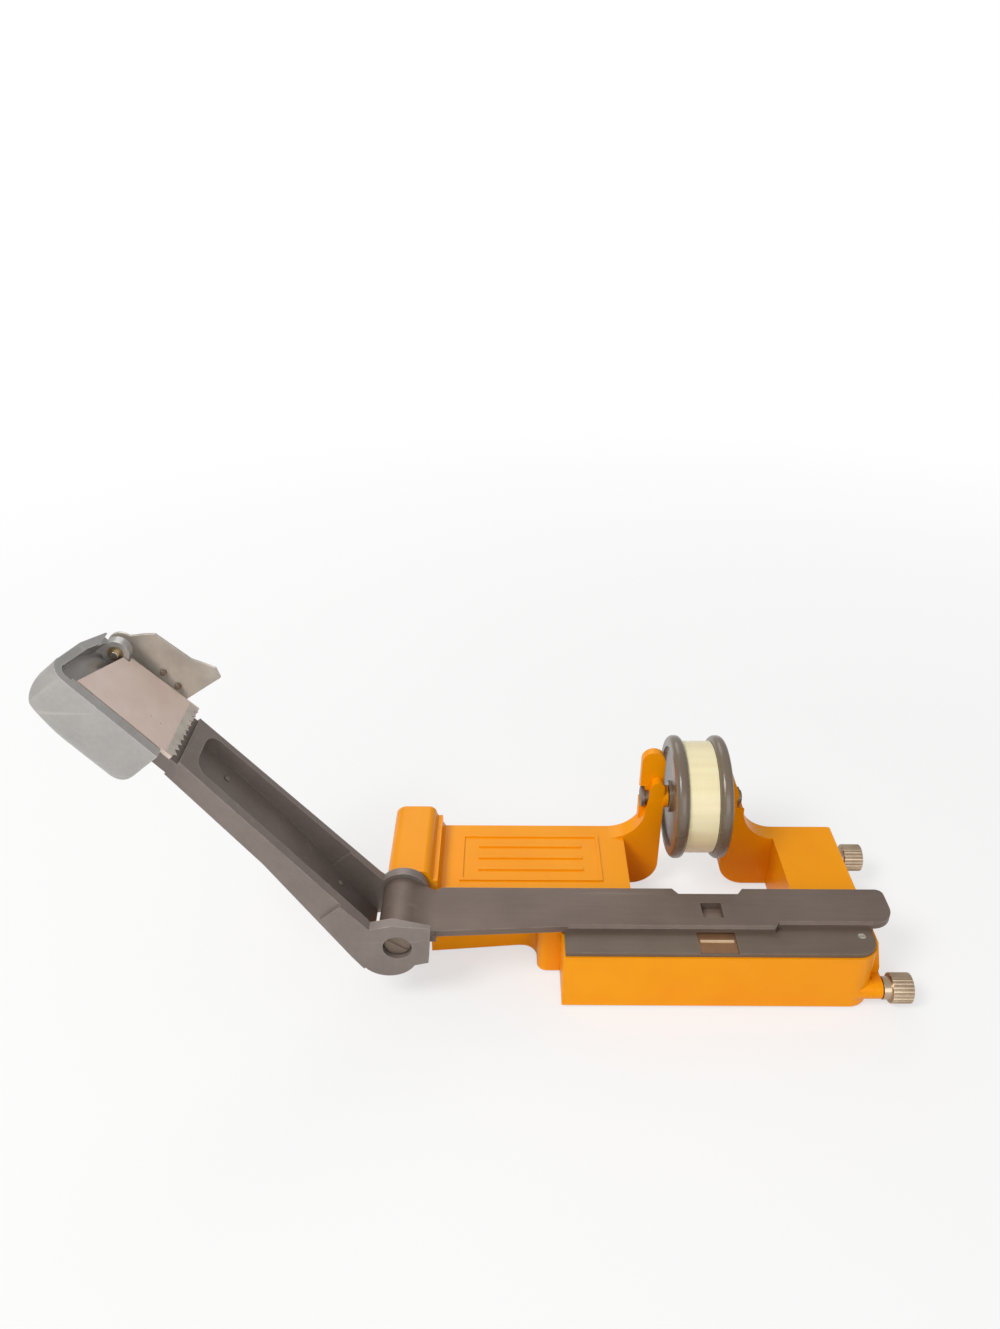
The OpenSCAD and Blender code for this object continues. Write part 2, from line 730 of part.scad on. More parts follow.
module splice_arm() color(grey) on_arm() difference() {
    union() {
        difference() {
            intersection() {
                along_y(cheek_front, rear_cheek_back) arm_side();
                translate([0, 0, -cheek_r]) linear_extrude(cheek_r * 3) arm_plan(0);
            }
            channel();
            block(-cheek_r, rear_cheek_r + 2, cheek_front - cut, rear_cheek_back + cut, -cheek_r, 0);
        }
        difference() {
            along_y(cheek_front, cheek_back) front_cheek_side();
            heel_slant();
        }
        along_y(rear_cheek_front, rear_cheek_back) rear_cheek_side();
        block(arm_end - cut, tongue_end, arm_front_end, rear_cheek_back, plate_back, tongue_top);
    }
    rod_y(cheek_front - cut, rear_cheek_back + cut, 0, 0, pin_r + run_gap);
    rod_y(cheek_front - cut, cheek_front + head_depth, 0, 0, head_r + 0.5);
    for (u = cap_screw_x) {
        rod_z(u, 0, 0, tongue_top + cut, 1.6);
        rod_z(u, 0, 0, plate_back + 2, 3);
    }
    translate([-hinge_x, 0, 0]) punch_cube(run_gap);
}

// The square space of the punch block, between the plate and the tongue
module punch_cube(gap) block(-block_w / 2 - gap, block_w / 2 + gap, -block_w / 2 - gap,
    block_w / 2 + gap, plate_back, plate_back + block_h + gap);

module grip_side(inset) {
    head = grip_r - inset;
    tail = grip_tail_r - inset;
    belt([grip_start + grip_r, grip_top - grip_r], head, [grip_end - grip_tail_r, grip_top_end - grip_tail_r],
        tail);
    rect(grip_start + inset, plate_z - cut, grip_start + grip_r, grip_top - grip_r);
    rect(grip_start + inset, plate_z - cut, grip_end - inset, grip_top_end - grip_tail_r);
}

// Cross-section of the grip: Y and height, flat below and domed above
module grip_section(inset) {
    r = grip_side_r - inset;
    rect(grip_front + inset, plate_z - cut, grip_rear - inset, grip_top - grip_side_r);
    rect(grip_front + grip_side_r, plate_z - cut, grip_rear - grip_side_r, grip_top - inset);
    translate([grip_front + grip_side_r, grip_top - grip_side_r]) circle(r);
    translate([grip_rear - grip_side_r, grip_top - grip_side_r]) circle(r);
}

// Plan of the grip: its outer end slants back towards the rear
module grip_plan(inset) {
    r = 6;
    difference() {
        rect(grip_start + inset, grip_front + inset, grip_end - inset, grip_rear - inset);
        translate([grip_end - r, grip_front]) rect(0, -cut, r + cut, r);
        polygon([[grip_end - inset, grip_front + r], [grip_end - inset * 1.1 - 3, 3],
            [grip_end - inset * 1.1 - 8.5, grip_rear + cut], [grip_end + cut, grip_rear + cut],
            [grip_end + cut, grip_front + r]]);
    }
    translate([grip_end - r, grip_front + r]) circle(r - inset);
}

module grip_form(inset) intersection() {
    along_y(grip_front + inset, grip_rear - inset) grip_side(inset);
    along_x(grip_start + inset, grip_end - inset) grip_section(inset);
    translate([0, 0, plate_z]) linear_extrude(grip_top) grip_plan(inset);
}

module grip_cap() color(grip_grey) on_arm() difference() {
    union() {
        difference() {
            grip_form(0);
            difference() {
                translate([0, 0, -1.96]) grip_form(grip_wall);
                block(tongue_end + 1.3, grip_end, grip_front, grip_rear, ledge_z, ledge_z + ledge_t);
            }
            block(grip_start - cut, tongue_end + 1, arm_front_end - grip_slot_gap,
                rear_cheek_back + grip_slot_gap, plate_z - cut, arm_h_end + grip_slot_gap);
            block(grip_start - cut, plate_corner[0][0] + 1, plate_front - plate_gap, grip_rear + cut,
                plate_z - cut, plate_back + 0.3);
        }
        for (u = cap_screw_x) rod_z(u, 0, tongue_top, grip_top - grip_wall - 1.8, 3.4);
        block(grip_start + 1, grip_end - 8, grip_front + 1, plate_front - plate_gap, plate_z, plate_z + 4);
        rod_y(grip_rear - bush_l, grip_rear, blade_u, blade_z, boss_r);
    }
    for (u = cap_screw_x) rod_z(u, 0, tongue_top - cut, tongue_top + 8, 1.2);
    rod_y(grip_rear - bush_l - cut, grip_rear + cut, blade_u, blade_z, bush_r);
}

module cap_screws() color(steel) on_arm() for (u = cap_screw_x) {
    rod_z(u, 0, plate_back + 0.2, plate_back + 2, 2.7);
    rod_z(u, 0, plate_back + 2, tongue_top + 7, 1.2);
}

module pressure_plate() color(steel) on_arm() difference() {
    translate([0, 0, plate_z]) linear_extrude(plate_t) difference() {
        polygon(plate_corner);
        rect(blade_u - boss_r - 0.4, grip_rear - bush_l - 0.4, blade_u + boss_r, grip_rear + 2);
    }
    for (p = rivet_places) rod_z(p[0], p[1], plate_z - cut, plate_back + cut, rivet_r);
    for (k = punch_places)
        rod_z(-hinge_x + k * pitch, -perf_y, plate_z - cut, plate_back + cut, punch_r);
}

rivet_places = [[grip_start - 0.5, -10], [grip_start - 0.5, 11], [blade_u - 5.5, -10]];

module plate_rivets() color(steel) on_arm()
    for (p = rivet_places) rod_z(p[0], p[1], plate_z, plate_back, rivet_r);

module punch_block() color(steel) on_arm() translate([-hinge_x, 0, 0]) difference() {
    punch_cube(0);
    for (k = punch_places) rod_z(k * pitch, -perf_y, plate_z, plate_back + block_h + cut, punch_r);
}

module punch_pins() color(steel) on_arm() translate([-hinge_x, 0, 0])
    for (k = punch_places) rod_z(k * pitch, -perf_y, plate_z + 0.1, plate_back + block_h, punch_r);

module blade_bush() color(brass) on_arm() difference() {
    rod_y(grip_rear - bush_l, grip_rear, blade_u, blade_z, bush_r);
    rod_y(grip_rear - bush_l - cut, grip_rear + cut, blade_u, blade_z, pivot_r);
}

module blade_pivot() color(steel) on_arm() {
    rod_y(grip_rear - bush_l - 1.6, blade_y + blade_t + 0.3, blade_u, blade_z, pivot_r);
    rod_y(grip_rear, blade_y - 0.3, blade_u, blade_z, 2.6);
    rod_y(blade_y + blade_t + 0.3, blade_y + blade_t + 0.3 + pivot_head_t, blade_u, blade_z, pivot_head_r);
}

module tape_blade() color(steel) on_arm() difference() {
    union() {
        rod_y(blade_y, blade_y + blade_t, blade_u, blade_z, 5);
        along_y(blade_y, blade_y + blade_t) polygon([[blade_u + 3, blade_z + 3],
            [blade_u + 2, blade_z - 3], [blade_u - 0.5, -3], [blade_u - 2.3, -6],
            [blade_u - 4.9, -9.3], [blade_u - 20.7, -11.4], [blade_u - 29.1, -15.7],
            [blade_u - 33.2, -13.9], [blade_u - 31.3, 4], [blade_u - 21.5, 8],
            [blade_u, blade_z + 4.5]]);
    }
    rod_y(blade_y - cut, blade_y + blade_t + cut, blade_u, blade_z, pivot_r + run_gap);
    for (p = peg_places) rod_y(blade_y - cut, blade_y + blade_t + cut, p[0], p[1], peg_r);
}

peg_places = [[blade_u - 25.3, 1], [blade_u - 17.7, 0.6]];

module blade_rivets() color(steel) on_arm()
    for (p = peg_places) rod_y(blade_y - peg_l, blade_y + blade_t, p[0], p[1], peg_r);

module flange(side) translate([0, reel_y, reel_z]) rotate([0, side * 90, 0]) {
    inner = tape_w / 2 + 0.15;
    rotate_extrude() difference() {
        union() {
            rect(spindle_r + run_gap, inner, flange_r - rim_r, inner + flange_t);
            rect(spindle_r + run_gap, inner + rim_r, flange_r, inner + flange_t - rim_r);
            translate([flange_r - rim_r, inner + rim_r]) circle(rim_r);
            translate([flange_r - rim_r, inner + flange_t - rim_r]) circle(rim_r);
        }
        rect(spindle_r + 4, inner + flange_t - 1.2, flange_r - 5, inner + flange_t + cut);
    }
}

module reel_flange_left() color(grey) flange(-1);

module reel_flange_right() color(grey) flange(1);

module ring_x(x0, x1, r_out, r_in) difference() {
    rod_x(x0, x1, reel_y, reel_z, r_out);
    rod_x(x0 - cut, x1 + cut, reel_y, reel_z, r_in);
}

module reel_core() color(grey) ring_x(-tape_w / 2 - 0.15, tape_w / 2 + 0.15, core_r, spindle_r + run_gap);

module tape_roll() color(cream) ring_x(-tape_w / 2, tape_w / 2, tape_r, core_r);

module thumb_screw(place) translate([end_face + 0.2, place[0], place[1]]) rotate([0, 90, 0]) {
    cylinder(r = collar_r, h = collar_l);
    translate([0, 0, -shank_l]) cylinder(r = shank_r, h = shank_l + 0.1);
    translate([0, 0, collar_l]) linear_extrude(knob_l) {
        circle(knob_r - 0.35);
        for (k = [0:knurls - 1]) rotate(k * 360 / knurls)
            polygon([[knob_r - 0.6, -0.42], [knob_r, 0], [knob_r - 0.6, 0.42]]);
    }
}

module thumb_screw_front() color(steel) thumb_screw(front_screw);

module thumb_screw_rear() color(steel) thumb_screw(rear_screw);

base_shell();
bottom_cover();
cover_screws();
rubber_feet();
end_cover();
threaded_inserts();
film_track();
track_screws();
die_plate();
registration_pins();
tape_bar();
hinge_pin();
hinge_washer();
reel_spindle();
spindle_clip();
clamp_arm();
clamp_pads();
splice_arm();
grip_cap();
cap_screws();
pressure_plate();
plate_rivets();
punch_block();
punch_pins();
blade_bush();
blade_pivot();
tape_blade();
blade_rivets();
reel_flange_left();
reel_flange_right();
reel_core();
tape_roll();
thumb_screw_front();
thumb_screw_rear();
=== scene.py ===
import bpy, bmesh, json, math
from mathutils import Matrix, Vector

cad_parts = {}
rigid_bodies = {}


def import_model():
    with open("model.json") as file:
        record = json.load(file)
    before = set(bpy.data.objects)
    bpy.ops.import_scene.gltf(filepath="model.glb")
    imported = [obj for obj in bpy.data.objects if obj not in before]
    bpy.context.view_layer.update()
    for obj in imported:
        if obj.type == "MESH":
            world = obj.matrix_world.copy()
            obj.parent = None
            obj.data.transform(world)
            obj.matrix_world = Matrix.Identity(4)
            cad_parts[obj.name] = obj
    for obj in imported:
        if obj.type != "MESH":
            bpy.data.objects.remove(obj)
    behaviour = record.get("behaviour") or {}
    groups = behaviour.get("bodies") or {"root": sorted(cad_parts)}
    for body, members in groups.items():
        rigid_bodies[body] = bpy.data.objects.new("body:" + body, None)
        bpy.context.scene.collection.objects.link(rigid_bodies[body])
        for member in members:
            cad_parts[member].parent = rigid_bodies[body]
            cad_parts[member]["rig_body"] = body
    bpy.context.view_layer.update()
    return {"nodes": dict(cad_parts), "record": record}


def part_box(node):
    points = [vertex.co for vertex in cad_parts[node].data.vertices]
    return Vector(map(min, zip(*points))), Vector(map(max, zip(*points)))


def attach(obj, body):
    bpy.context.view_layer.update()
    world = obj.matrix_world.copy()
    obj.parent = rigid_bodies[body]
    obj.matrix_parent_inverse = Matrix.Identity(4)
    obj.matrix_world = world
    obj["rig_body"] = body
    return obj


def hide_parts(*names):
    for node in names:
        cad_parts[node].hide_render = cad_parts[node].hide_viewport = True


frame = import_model()
nodes = frame["nodes"]
mm = 0.001
print("frame loaded:", len(nodes), "nodes")

# camera and light
cameraSpec = {"place": (-0.0846, -0.3019, 0.327), "pitch": 59.5, "turn": 0.395, "lens": 27.09, "film": 36.0}
lightSpec = {
    "key": {"place": (-0.85, -0.55, 1.20), "aim": (-0.05, 0.0, 0.04), "power": 13.0, "size": 0.55,
            "tint": (1.0, 0.985, 0.96)},
    "fill": {"place": (0.25, -1.25, 0.55), "aim": (-0.02, 0.0, 0.03), "power": 4.2, "size": 0.9,
             "tint": (0.97, 0.985, 1.0)},
    "back": {"place": (-0.25, 1.1, 0.95), "aim": (-0.05, 0.0, 0.03), "power": 3.2, "size": 0.8,
             "tint": (1.0, 1.0, 1.0)},
}
roomSpec = {"ambient": 0.40, "backdrop": 1.0, "gloss": 0.32, "floorTone": 0.88, "floorLift": 0.62,
            "floorSize": 14.0, "fadeFrom": 0.22, "fadeTo": 0.75}


def addCamera(spec):
    cam = bpy.data.cameras.new("photoCamera")
    cam.sensor_fit = "VERTICAL"
    cam.sensor_height = spec["film"]
    cam.lens = spec["lens"]
    cam.clip_start = 0.01
    obj = bpy.data.objects.new("photoCamera", cam)
    obj.location = spec["place"]
    obj.rotation_euler = (math.radians(spec["pitch"]), 0, math.radians(spec["turn"]))
    bpy.context.scene.collection.objects.link(obj)
    bpy.context.scene.camera = obj


def addLamp(name, spec):
    lamp = bpy.data.lights.new(name, "AREA")
    lamp.energy, lamp.size, lamp.color = spec["power"], spec["size"], spec["tint"]
    obj = bpy.data.objects.new(name, lamp)
    obj.location = spec["place"]
    aim = Vector(spec["aim"]) - Vector(spec["place"])
    obj.rotation_euler = aim.to_track_quat("-Z", "Y").to_euler()
    bpy.context.scene.collection.objects.link(obj)


addCamera(cameraSpec)
for lampName, lampSpec in lightSpec.items():
    addLamp(lampName, lampSpec)
bpy.context.scene.view_settings.view_transform = "Standard"


# shader maths
mixSlots = {"in": (0, 6, 7), "out": 2}  # factor and the two colours of a Mix node, and its colour


class Sock:
    def __init__(self, tree, out):
        self.tree, self.out = tree, out

    def math(self, how, a, b=None):
        return self.tree.node("ShaderNodeMath", {"operation": how}, [a] if b is None else [a, b])

    def __add__(self, o): return self.math("ADD", self, o)
    def __radd__(self, o): return self.math("ADD", o, self)
    def __sub__(self, o): return self.math("SUBTRACT", self, o)
    def __rsub__(self, o): return self.math("SUBTRACT", o, self)
    def __mul__(self, o): return self.math("MULTIPLY", self, o)
    def __rmul__(self, o): return self.math("MULTIPLY", o, self)
    def __pow__(self, o): return self.math("POWER", self, o)
    def clamp(self): return self.math("MAXIMUM", self.math("MINIMUM", self, 1.0), 0.0)


class Finish:
    def __init__(self, name):
        self.material = bpy.data.materials.new(name)
        self.material.use_nodes = True
        self.start(self.material.node_tree, "ShaderNodeOutputMaterial")

    def start(self, tree, endKind):
        self.nodes = tree.nodes
        self.links = tree.links
        self.nodes.clear()
        self.end = self.nodes.new(endKind)

    @classmethod
    def over(cls, tree, endKind):
        f = cls.__new__(cls)
        f.start(tree, endKind)
        return f

    def put(self, socket, value):
        if isinstance(value, Sock):
            self.links.new(value.out, socket)
        elif isinstance(value, (tuple, list)) and len(value) == 3 and socket.type == "RGBA":
            socket.default_value = (*value, 1.0)
        else:
            socket.default_value = value

    def node(self, kind, settings=None, values=(), out=0):
        n = self.nodes.new(kind)
        for key, val in (settings or {}).items():
            if key == "stops":
                while len(n.color_ramp.elements) < len(val):
                    n.color_ramp.elements.new(0.5)
                for e, (at, tone) in zip(n.color_ramp.elements, val):
                    e.position = at
                    e.color = (tone, tone, tone, 1) if isinstance(tone, (int, float)) else (*tone, 1)
            else:
                setattr(n, key, val)
        pairs = values.items() if isinstance(values, dict) else enumerate(values)
        for key, val in pairs:
            self.put(n.inputs[key], val)
        return Sock(self, n.outputs[out])

    def place(self, scale=(1, 1, 1), turn=(0, 0, 0)):
        co = self.node("ShaderNodeTexCoord", out="Object")
        return self.node("ShaderNodeMapping", {}, {"Vector": co, "Scale": scale, "Rotation": turn})

    def noise(self, size, detail=3.0, rough=0.5, stretch=(1, 1, 1), turn=(0, 0, 0)):
        where = self.place(tuple(s / size for s in stretch), turn)
        return self.node("ShaderNodeTexNoise", {}, {"Vector": where, "Scale": 1.0, "Detail": detail,
                                                    "Roughness": rough})

    def ramp(self, value, low, high):
        return self.node("ShaderNodeMapRange", {}, {"Value": value, "From Min": low, "From Max": high})

    def mix(self, factor, a, b):
        n = self.nodes.new("ShaderNodeMix")
        n.data_type = "RGBA"
        for key, val in zip(mixSlots["in"], (factor, a, b)):
            self.put(n.inputs[key], val)
        return Sock(self, n.outputs[mixSlots["out"]])

    def edges(self, radius):
        # white where the surface turns over an edge
        rounded = self.node("ShaderNodeBevel", {"samples": 4}, {"Radius": radius})
        plain = self.node("ShaderNodeNewGeometry", out="Normal")
        same = self.node("ShaderNodeVectorMath", {"operation": "DOT_PRODUCT"}, [rounded, plain],
                         out="Value")
        return self.ramp(same, 0.995, 0.93)

    def bump(self, height, strength, distance):
        return self.node("ShaderNodeBump", {}, {"Height": height, "Strength": strength,
                                                "Distance": distance})

    def surface(self, colour, rough, metal=0.0, normal=None, fixed=None):
        values = {"Base Color": colour, "Roughness": rough, "Metallic": metal}
        values.update(fixed or {})
        if normal is not None:
            values["Normal"] = normal
        shader = self.node("ShaderNodeBsdfPrincipled", {}, values)
        self.links.new(shader.out, self.end.inputs["Surface"])
        return self.material


plasticLook = {"cloud": 0.05, "flow": 0.012, "smear": 0.03, "hair": 0.0022, "ripple": 0.006,
               "smearRough": 0.07, "hairRough": 0.10, "coatRough": 0.16, "ior": 1.5}


def plasticFinish(name, tone, deep, rough, coat, grain, shine=0.35, sheen=(1.0, 1.0, 1.0)):
    look = plasticLook
    f = Finish(name)
    cloud = f.noise(look["cloud"], 3, 0.55)
    flow = f.noise(look["flow"], 2, 0.5, (1, 0.25, 1))
    colour = f.mix(f.ramp(cloud * 0.7 + flow * 0.3, 0.35, 0.7), tone, deep)
    smear = f.ramp(f.noise(look["smear"], 4, 0.6), 0.42, 0.68)
    hair = f.ramp(f.noise(look["hair"], 2, 0.5, (1, 0.06, 1), (0, 0, 0.5)), 0.62, 0.8)
    fine = f.noise(grain["size"], 2, 0.5)
    return f.surface(colour, rough + smear * look["smearRough"] + hair * look["hairRough"], 0.0,
                     f.bump(fine * 0.6 + f.noise(look["ripple"], 2) * 0.4, grain["strength"],
                            grain["depth"]),
                     {"Coat Weight": coat, "Coat Roughness": look["coatRough"], "IOR": look["ior"],
                      "Specular IOR Level": shine, "Specular Tint": sheen})


coatedLook = {"cloud": 0.03, "brush": 0.0016, "wear": 0.0007, "chips": 0.004, "scratch": 0.004,
              "brushShare": 0.18, "wearShare": 0.65, "scratchShare": 0.22, "bump": 0.18, "depth": 0.0002}


def coatedMetalFinish(name, tone, deep, worn, rough, stretch, metal=0.35):
    look = coatedLook
    f = Finish(name)
    cloud = f.noise(look["cloud"], 4, 0.6)
    brush = f.noise(look["brush"], 2, 0.5, stretch)
    edge = f.edges(look["wear"]) * f.ramp(f.noise(look["chips"], 3, 0.6), 0.3, 0.6)
    scratch = f.ramp(f.noise(look["scratch"], 2, 0.5, (0.05, 1, 1), (0, 0, 0.35)), 0.66, 0.76)
    colour = f.mix(f.ramp(cloud, 0.35, 0.68), tone, deep)
    colour = f.mix(brush * look["brushShare"], colour, worn)
    colour = f.mix((edge * look["wearShare"] + scratch * look["scratchShare"]).clamp(), colour, worn)
    return f.surface(colour, rough + cloud * 0.10 - edge * 0.08 + brush * 0.05, metal + edge * 0.25,
                     f.bump(brush * 0.5 + cloud * 0.5, look["bump"], look["depth"]))


steelLook = {"brush": 0.0012, "cloud": 0.012, "spots": 0.0035, "spotTone": 0.45, "brushRough": 0.14,
             "spotRough": 0.12, "bump": 0.12, "depth": 0.0001}


def steelFinish(name, tone, deep, rough, stretch, metal, grime):
    look = steelLook
    f = Finish(name)
    brush = f.noise(look["brush"], 3, 0.6, stretch)
    cloud = f.noise(look["cloud"], 3, 0.6)
    spots = f.ramp(f.noise(look["spots"], 4, 0.7), 0.62, 0.8)
    colour = f.mix(f.ramp(cloud, 0.3, 0.7), tone, deep)
    colour = f.mix(spots * grime, colour, tuple(look["spotTone"] * c for c in deep))
    return f.surface(colour, rough + brush * look["brushRough"] + spots * look["spotRough"], metal,
                     f.bump(brush, look["bump"], look["depth"]))


def rubberFinish():
    f = Finish("blackRubber")
    grain = f.noise(0.0012, 3, 0.6)
    dust = f.ramp(f.noise(0.008, 4, 0.6), 0.55, 0.8)
    return f.surface(f.mix(dust * 0.4, (0.02, 0.02, 0.02), (0.09, 0.085, 0.08)), 0.62 + dust * 0.2, 0.0,
                     f.bump(grain, 0.4, 0.0003))


def woundTapeFinish():
    f = Finish("woundTape")
    bands = f.noise(0.006, 2, 0.5, (0.06, 1, 1))
    turns = f.noise(0.0006, 2, 0.5, (0.02, 1, 1))
    side = f.noise(0.0016, 2, 0.5, (1, 0.05, 0.05))
    colour = f.mix(f.ramp(bands, 0.30, 0.75), (0.92, 0.83, 0.52), (0.84, 0.72, 0.44))
    colour = f.mix(f.ramp(side, 0.55, 0.8) * 0.35, colour, (0.95, 0.90, 0.68))
    return f.surface(colour, 0.24 + bands * 0.14, 0.0, f.bump(turns * 0.5 + side * 0.5, 0.15, 0.0002),
                     {"Coat Weight": 0.3, "Coat Roughness": 0.12, "Subsurface Weight": 0.08,
                      "Subsurface Scale": 0.002})


finishes = {
    "baseYellow": plasticFinish("baseYellow", (0.93, 0.350, 0.001), (0.90, 0.300, 0.001), 0.30, 0.03,
                                {"size": 0.0012, "strength": 0.06, "depth": 0.0002}, 0.35,
                                (1.0, 0.62, 0.22)),
    "reelGrey": plasticFinish("reelGrey", (0.165, 0.125, 0.085), (0.125, 0.088, 0.060), 0.26, 0.35,
                              {"size": 0.0010, "strength": 0.10, "depth": 0.0002}, 0.5),
    "coverGrey": plasticFinish("coverGrey", (0.12, 0.11, 0.10), (0.09, 0.08, 0.075), 0.45, 0.1,
                               {"size": 0.0010, "strength": 0.25, "depth": 0.0002}),
    "barBronze": coatedMetalFinish("barBronze", (0.165, 0.122, 0.098), (0.135, 0.098, 0.078),
                                   (0.32, 0.26, 0.215), 0.42, (0.06, 1, 1)),
    "trackBronze": coatedMetalFinish("trackBronze", (0.158, 0.118, 0.088), (0.130, 0.095, 0.070),
                                     (0.30, 0.24, 0.19), 0.42, (0.06, 1, 1)),
    "armGrey": coatedMetalFinish("armGrey", (0.225, 0.185, 0.165), (0.180, 0.142, 0.125),
                                 (0.42, 0.37, 0.33), 0.38, (1, 1, 1)),
    "gripSilver": coatedMetalFinish("gripSilver", (0.42, 0.405, 0.39), (0.33, 0.32, 0.305),
                                    (0.78, 0.74, 0.69), 0.24, (1, 0.1, 1), 0.45),
    "plateSteel": steelFinish("plateSteel", (0.80, 0.655, 0.575), (0.74, 0.575, 0.50), 0.36, (1, 0.05, 1),
                              0.15, 0.12),
    "bladeSteel": steelFinish("bladeSteel", (0.62, 0.575, 0.51), (0.46, 0.415, 0.36), 0.26, (0.06, 1, 1),
                              0.55, 0.35),
    "brightSteel": steelFinish("brightSteel", (0.70, 0.65, 0.58), (0.50, 0.45, 0.38), 0.20, (1, 1, 1),
                               0.9, 0.3),
    "dullSteel": steelFinish("dullSteel", (0.26, 0.20, 0.155), (0.17, 0.125, 0.095), 0.38, (1, 1, 1),
                             0.7, 0.4),
    "knobSteel": steelFinish("knobSteel", (0.62, 0.49, 0.35), (0.40, 0.29, 0.19), 0.22, (1, 1, 1),
                             0.95, 0.4),
    # die plate: its own brown, lightened as painted light so that down in the bar's window it shows the
    # bar's tone without the window's shade
    "dieBrownPaintedLight": steelFinish("dieBrownPaintedLight", (0.30, 0.225, 0.175), (0.24, 0.175, 0.135), 0.34, (0.08, 1, 1),
                            0.5, 0.4),
    "slotBrown": steelFinish("slotBrown", (0.30, 0.155, 0.075), (0.21, 0.105, 0.05), 0.36, (0.08, 1, 1),
                             0.5, 0.35),
    "tearCream": steelFinish("tearCream", (0.74, 0.56, 0.36), (0.60, 0.43, 0.26), 0.34, (1, 1, 1),
                             0.4, 0.3),
    "insertBrass": steelFinish("insertBrass", (0.55, 0.42, 0.24), (0.38, 0.28, 0.15), 0.30, (1, 1, 1),
                               0.9, 0.3),
    "blackRubber": rubberFinish(),
    "woundTape": woundTapeFinish(),
}
print("finishes made:", len(finishes))

nodeFinish = {
    "baseYellow": ["base_shell", "end_cover"],
    "coverGrey": ["bottom_cover"],
    "reelGrey": ["reel_flange_left", "reel_flange_right", "reel_core"],
    "barBronze": ["clamp_arm"],
    "trackBronze": ["film_track"],
    "armGrey": ["splice_arm"],
    "gripSilver": ["grip_cap"],
    "plateSteel": ["pressure_plate", "plate_rivets"],
    "bladeSteel": ["tape_blade", "punch_block"],
    "dieBrownPaintedLight": ["die_plate"],
    "tearCream": ["tape_bar"],
    "dullSteel": ["hinge_pin", "reel_spindle", "spindle_clip", "blade_rivets"],
    "knobSteel": ["thumb_screw_front", "thumb_screw_rear"],
    "brightSteel": ["cover_screws", "track_screws", "registration_pins", "hinge_washer",
                    "cap_screws", "punch_pins", "blade_pivot"],
    "insertBrass": ["threaded_inserts", "blade_bush"],
    "blackRubber": ["rubber_feet", "clamp_pads"],
    "woundTape": ["tape_roll"],
}


def dress(obj, finish):
    obj.data.materials.clear()
    obj.data.materials.append(finishes[finish])


finishOf = {name: finish for finish, names in nodeFinish.items() for name in names}
for name, finish in finishOf.items():
    dress(nodes[name], finish)


# moulded and machined edges
edgeSpec = {
    "base_shell": {"width": 0.9, "steps": 3},
    "end_cover": {"width": 0.7, "steps": 3},
    "film_track": {"width": 0.2, "steps": 2},
    "clamp_arm": {"width": 0.35, "steps": 2},
    "splice_arm": {"width": 0.6, "steps": 3},
    "grip_cap": {"width": 0.8, "steps": 3},
    "pressure_plate": {"width": 0.15, "steps": 2},
    "tape_blade": {"width": 0.2, "steps": 2},
    "reel_flange_left": {"width": 0.3, "steps": 2},
    "reel_flange_right": {"width": 0.3, "steps": 2},
    "thumb_screw_front": {"width": 0.12, "steps": 1},
    "thumb_screw_rear": {"width": 0.12, "steps": 1},
    "hinge_pin": {"width": 0.25, "steps": 2},
    "reel_spindle": {"width": 0.3, "steps": 2},
    "blade_pivot": {"width": 0.25, "steps": 2},
    "blade_rivets": {"width": 0.2, "steps": 2},
}


easeRule = {"bevelAngle": 32, "flatWeight": 80, "mergeWithin": 2e-6, "flatAngle": 0.6, "sharpAngle": 28}


def linked(name, mesh):
    # a smooth shaded object in the scene
    for p in mesh.polygons:
        p.use_smooth = True
    obj = bpy.data.objects.new(name, mesh)
    bpy.context.scene.collection.objects.link(obj)
    return obj


def meshFrom(work, name):
    bmesh.ops.recalc_face_normals(work, faces=work.faces)
    mesh = bpy.data.meshes.new(name)
    work.to_mesh(mesh)
    work.free()
    return mesh


def easedObject(name, mesh, spec, finish, body):
    # a bevelled object whose flat faces stay flat in the light
    obj = linked(name, mesh)
    bevel = obj.modifiers.new("ease", "BEVEL")
    bevel.width = spec["width"] * mm
    bevel.segments = spec["steps"]
    bevel.limit_method = "ANGLE"
    bevel.angle_limit = math.radians(easeRule["bevelAngle"])
    bevel.use_clamp_overlap = True
    bevel.miter_outer = "MITER_ARC" if spec["steps"] > 2 else "MITER_SHARP"
    even = obj.modifiers.new("even", "WEIGHTED_NORMAL")
    even.weight = easeRule["flatWeight"]
    shape = obj.evaluated_get(bpy.context.evaluated_depsgraph_get())
    eased = bpy.data.meshes.new_from_object(shape)
    obj.modifiers.clear()
    obj.data = eased
    dress(obj, finish)
    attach(obj, body)
    return obj


def softened(node, spec):
    mesh = nodes[node].data.copy()
    work = bmesh.new()
    work.from_mesh(mesh)
    bmesh.ops.remove_doubles(work, verts=work.verts, dist=easeRule["mergeWithin"])
    bmesh.ops.dissolve_limit(work, angle_limit=math.radians(easeRule["flatAngle"]), verts=work.verts,
                             edges=work.edges)
    work.to_mesh(mesh)
    work.free()
    obj = easedObject(node + "_eased", mesh, spec, finishOf[node], nodes[node]["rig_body"])
    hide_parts(node)


for node, spec in edgeSpec.items():
    softened(node, spec)
for name, obj in nodes.items():
    if name not in edgeSpec:
        for p in obj.data.polygons:
            p.use_smooth = True
        obj.data.set_sharp_from_angle(angle=math.radians(easeRule["sharpAngle"]))
print("edges eased:", len(edgeSpec))


# small pieces on the arm and on the track
armJoint = next(j for j in frame["record"]["behaviour"]["joints"] if j["name"] == "splice_arm_hinge")
hingeAt = Vector(armJoint["pos_m"])
armOpen = math.radians(-armJoint["range_deg"][0])


